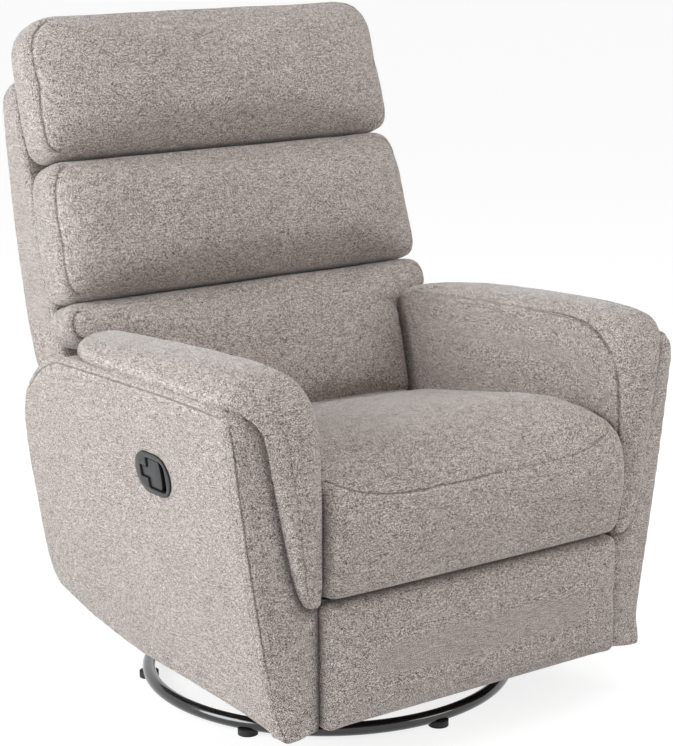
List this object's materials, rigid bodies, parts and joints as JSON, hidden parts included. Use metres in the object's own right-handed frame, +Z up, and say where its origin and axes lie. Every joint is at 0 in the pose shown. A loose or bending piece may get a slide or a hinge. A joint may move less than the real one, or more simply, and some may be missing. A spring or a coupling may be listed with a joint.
{
  "type": "swivel rocker recliner",
  "caption": "Upholstered recliner on a round steel ring that swivels and rocks, with a pull handle, a reclining three-cushion back and a fold-out footrest.",
  "frame": {"origin": "on the floor under the swivel axis, at the middle of the base ring", "axes": "+Z up along the swivel axis, -Y the way the sitter faces, +X to the sitter's left"},
  "size_m": [0.7928, 0.8127, 1.0058],
  "materials": {
    "upholstery": "heathered chenille weave, matt",
    "black_steel": "gloss black powder coat",
    "mechanism_steel": "satin zinc plate",
    "spring_steel": "oiled",
    "bearing_steel": "polished",
    "frame_wood": "sawn, unfinished",
    "handle_plastic": "dark grey, fine grain",
    "glide_rubber": "matt black",
    "cable_sheath": "black sheath"
  },
  "bodies": {
    "base": {"base_ring": "black_steel", "base_cross_bars": "black_steel", "glide_pads": "glide_rubber", "lower_bearing_race": "mechanism_steel", "bearing_balls": "bearing_steel", "swivel_bolt": "mechanism_steel"},
    "turntable": {"upper_bearing_race": "mechanism_steel", "turning_frame": "black_steel", "lower_spring_clamps": "mechanism_steel", "rocker_springs": "spring_steel"},
    "rocker": {"upper_spring_clamps": "mechanism_steel", "rocker_cam_left": "frame_wood", "rocker_cam_right": "frame_wood", "cross_tubes": "mechanism_steel", "side_plate_left": "mechanism_steel", "side_plate_right": "mechanism_steel", "arm_bolts": "mechanism_steel", "arm_board_left": "frame_wood", "arm_board_right": "frame_wood", "arm_inner_panel_left": "upholstery", "arm_inner_panel_right": "upholstery", "arm_outer_panel_left": "upholstery", "arm_outer_panel_right": "upholstery", "arm_front_panel_left": "upholstery", "arm_front_panel_right": "upholstery", "arm_pad_left": "upholstery", "arm_pad_right": "upholstery", "rear_cover": "upholstery", "handle_bezel": "handle_plastic", "handle_pin": "mechanism_steel", "release_cable": "cable_sheath", "release_latch": "mechanism_steel"},
    "handle": {"handle_paddle": "handle_plastic"},
    "seat": {"seat_plate_left": "mechanism_steel", "seat_plate_right": "mechanism_steel", "seat_frame": "frame_wood", "seat_springs": "spring_steel", "seat_cushion": "upholstery", "footrest_springs": "spring_steel"},
    "back": {"back_bracket_left": "mechanism_steel", "back_bracket_right": "mechanism_steel", "back_frame": "frame_wood", "back_springs": "spring_steel", "lower_back_cushion": "upholstery", "middle_back_cushion": "upholstery", "head_cushion": "upholstery", "back_shell": "upholstery"},
    "rear_links": {"torque_tube": "mechanism_steel", "rear_link_left": "mechanism_steel", "rear_link_right": "mechanism_steel"},
    "cross_links": {"cross_link_left": "mechanism_steel", "cross_link_right": "mechanism_steel"},
    "front_links": {"front_link_left": "mechanism_steel", "front_link_right": "mechanism_steel"},
    "support_links": {"support_link_left": "mechanism_steel", "support_link_right": "mechanism_steel"},
    "footrest": {"footrest_bracket_left": "mechanism_steel", "footrest_bracket_right": "mechanism_steel", "footrest_board": "frame_wood", "footrest_pad": "upholstery"}
  },
  "joints": [
    {"name": "swivel", "type": "hinge", "parent": "base", "child": "turntable", "pos_m": [0, 0, 0.037], "axis": [0, 0, 1], "continuous": true},
    {"name": "rock", "type": "hinge", "parent": "turntable", "child": "rocker", "pos_m": [0, 0, 0.115], "axis": [1, 0, 0], "range_deg": [-7.5, 7.5], "stiffness_Nm_per_rad": 1500, "deforming": ["rocker_springs"]},
    {"name": "handle_pull", "type": "hinge", "parent": "rocker", "child": "handle", "pos_m": [-0.376, -0.101, 0.41355], "axis": [0.1516, 0, -0.9884], "range_deg": [0, 25], "stiffness_Nm_per_rad": 0.3, "springref_deg": -11.46},
    {"name": "seat_slide", "type": "slide", "parent": "rocker", "child": "seat", "axis": [0, -0.9945, 0.1045], "range_m": [-0.001, 0.045]},
    {"name": "recline", "type": "hinge", "parent": "seat", "child": "back", "pos_m": [0, 0.2, 0.3], "axis": [-1, 0, 0], "range_deg": [0, 38]},
    {"name": "footrest_open", "type": "hinge", "parent": "seat", "child": "rear_links", "pos_m": [0, -0.222, 0.246], "axis": [-1, 0, 0], "range_deg": [0, 46], "deforming": ["footrest_springs"]},
    {"name": "cross_link_pivot", "type": "hinge", "parent": "rear_links", "child": "cross_links", "pos_m": [0, -0.25882, 0.1705], "axis": [-1, 0, 0], "range_deg": [-115, 1]},
    {"name": "front_link_pivot", "type": "hinge", "parent": "rear_links", "child": "front_links", "pos_m": [0, -0.29565, 0.095], "axis": [-1, 0, 0], "range_deg": [-115, 1]},
    {"name": "support_link_pivot", "type": "hinge", "parent": "cross_links", "child": "support_links", "pos_m": [0, -0.25004, 0.25404], "axis": [-1, 0, 0], "range_deg": [-1, 115]},
    {"name": "footrest_tilt", "type": "hinge", "parent": "front_links", "child": "footrest", "pos_m": [0, -0.28125, 0.23201], "axis": [-1, 0, 0], "range_deg": [-1, 159]}
  ],
  "couplings": [
    {"joint": "seat_slide", "follows": "recline", "m_per_rad": 0.066342},
    {"joint": "cross_link_pivot", "follows": "footrest_open", "ratio": -2.4783},
    {"joint": "front_link_pivot", "follows": "footrest_open", "ratio": -2.4783},
    {"joint": "support_link_pivot", "follows": "footrest_open", "ratio": 2.4783},
    {"joint": "footrest_tilt", "follows": "footrest_open", "ratio": 3.4348}
  ]
}
